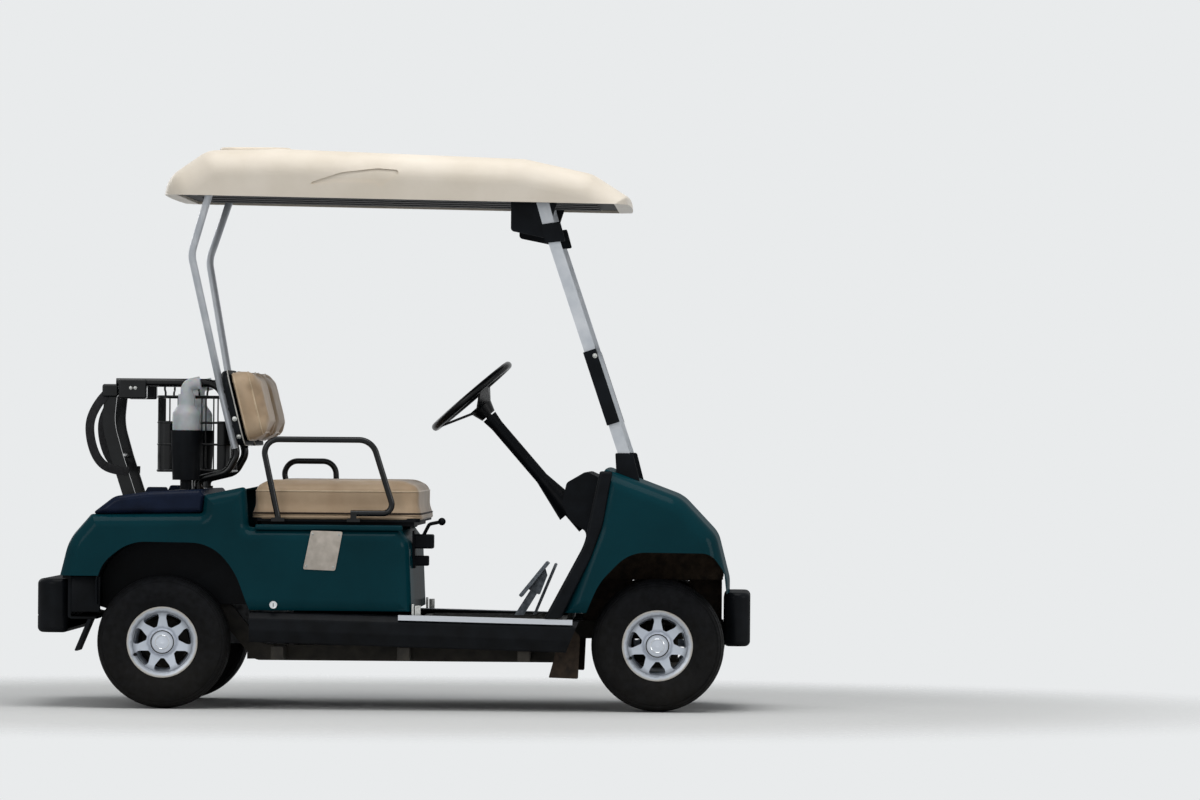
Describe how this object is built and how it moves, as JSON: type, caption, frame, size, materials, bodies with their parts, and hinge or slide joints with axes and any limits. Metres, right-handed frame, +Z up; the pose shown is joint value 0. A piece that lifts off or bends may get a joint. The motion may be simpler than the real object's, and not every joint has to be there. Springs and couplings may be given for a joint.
{
  "type": "golf cart",
  "caption": "Two seat golf cart with a crowned roof, folding windshield, bag well and rack, wire basket, spoked wheels and front steering.",
  "frame": {"origin": "on the ground under the middle of the cart's length and width", "axes": "+X forward, +Y to the cart's left where the driver sits, +Z up"},
  "size_m": [2.384, 1.204, 1.88],
  "materials": {
    "black_steel": "satin",
    "black_steel_gloss": "gloss",
    "black_wire": "satin",
    "engine_grey": "matte",
    "spring_steel": "satin",
    "zinc_steel": "satin",
    "floor_mat": "matte",
    "black_plastic": "satin",
    "navy_plastic": "satin",
    "dark_liner": "matte",
    "brown_rubber": "matte",
    "brown_liner": "matte",
    "body_green": "gloss",
    "aluminium": "satin",
    "beige_vinyl": "satin",
    "silver_tube": "satin",
    "clear_bottle": "satin",
    "clear_sheet": "gloss",
    "cream_plastic": "satin",
    "gloss_black": "gloss",
    "black_rubber": "matte",
    "silver_rim": "satin",
    "tyre": "matte"
  },
  "bodies": {
    "chassis": {"frame_rails": "black_steel", "engine": "engine_grey", "rear_axle": "black_steel", "rear_springs": "black_steel", "front_suspension": "black_steel", "coil_springs": "spring_steel", "rack_housing": "black_steel", "floor": "floor_mat", "rockers": "black_plastic", "sill_trims": "aluminium", "rear_body": "body_green", "deck_cap": "navy_plastic", "bag_well": "black_plastic", "selector": "black_plastic", "front_cowl": "body_green", "edge_strips": "navy_plastic", "dashboard": "black_plastic", "front_bumper": "black_plastic", "rear_bumper": "black_plastic", "rear_valance": "black_plastic", "front_flaps": "brown_rubber", "rear_liners": "black_plastic", "front_liners": "brown_liner", "seat_supports": "black_steel", "backrest_shells": "black_plastic", "backrest_pad_left": "beige_vinyl", "backrest_pad_right": "beige_vinyl", "rack_frame": "black_steel_gloss", "rack_brackets": "black_steel", "rear_struts": "silver_tube", "basket": "black_wire", "bottle_holders": "black_plastic", "sand_bottles": "clear_bottle", "front_struts": "silver_tube", "strut_fittings": "black_plastic", "windshield_lower": "clear_sheet", "windshield_upper": "clear_sheet", "glass_hinge": "black_plastic", "roof": "cream_plastic", "roof_liner": "dark_liner", "steering_column": "black_plastic", "pedals": "black_rubber"},
    "steering_wheel": {"steering_wheel": "gloss_black"},
    "rack_bar": {"tie_rods": "zinc_steel"},
    "knuckle_left": {"knuckle_left": "black_steel"},
    "knuckle_right": {"knuckle_right": "black_steel"},
    "front_wheel_left": {"wheel_front_left": "silver_rim", "tyre_front_left": "tyre"},
    "front_wheel_right": {"wheel_front_right": "silver_rim", "tyre_front_right": "tyre"},
    "rear_wheel_left": {"wheel_rear_left": "silver_rim", "tyre_rear_left": "tyre"},
    "rear_wheel_right": {"wheel_rear_right": "silver_rim", "tyre_rear_right": "tyre"},
    "seat_lid": {"seat_pan": "black_plastic", "seat_cushion": "beige_vinyl", "hip_restraints": "black_steel_gloss"}
  },
  "joints": [
    {"name": "steer_left", "type": "hinge", "parent": "chassis", "child": "knuckle_left", "pos_m": [0.884, 0.372, 0.222], "axis": [0, 0, 1], "range_deg": [-30, 30]},
    {"name": "steer_right", "type": "hinge", "parent": "chassis", "child": "knuckle_right", "pos_m": [0.884, -0.372, 0.222], "axis": [0, 0, 1], "range_deg": [-30, 30]},
    {"name": "steering_wheel_turn", "type": "hinge", "parent": "chassis", "child": "steering_wheel", "pos_m": [0.231, 0.27, 1.052], "axis": [-0.6561, 0, 0.7547], "range_deg": [-300, 300]},
    {"name": "rack_slide", "type": "slide", "parent": "chassis", "child": "rack_bar", "axis": [0, 1, 0], "range_m": [-0.058, 0.058]},
    {"name": "front_left_spin", "type": "hinge", "parent": "knuckle_left", "child": "front_wheel_left", "pos_m": [0.884, 0.44, 0.222], "axis": [0, 1, 0], "continuous": true},
    {"name": "front_right_spin", "type": "hinge", "parent": "knuckle_right", "child": "front_wheel_right", "pos_m": [0.884, -0.44, 0.222], "axis": [0, 1, 0], "continuous": true},
    {"name": "rear_left_spin", "type": "hinge", "parent": "chassis", "child": "rear_wheel_left", "pos_m": [-0.762, 0.49, 0.222], "axis": [0, 1, 0], "continuous": true},
    {"name": "rear_right_spin", "type": "hinge", "parent": "chassis", "child": "rear_wheel_right", "pos_m": [-0.762, -0.49, 0.222], "axis": [0, 1, 0], "continuous": true},
    {"name": "seat_hinge", "type": "hinge", "parent": "chassis", "child": "seat_lid", "pos_m": [-0.462, 0, 0.626], "axis": [0, -1, 0], "range_deg": [0, 30]}
  ],
  "couplings": [
    {"joint": "steer_right", "follows": "steer_left", "ratio": 1},
    {"joint": "steering_wheel_turn", "follows": "steer_left", "ratio": 10},
    {"joint": "rack_slide", "follows": "steer_left", "m_per_rad": -0.105}
  ]
}
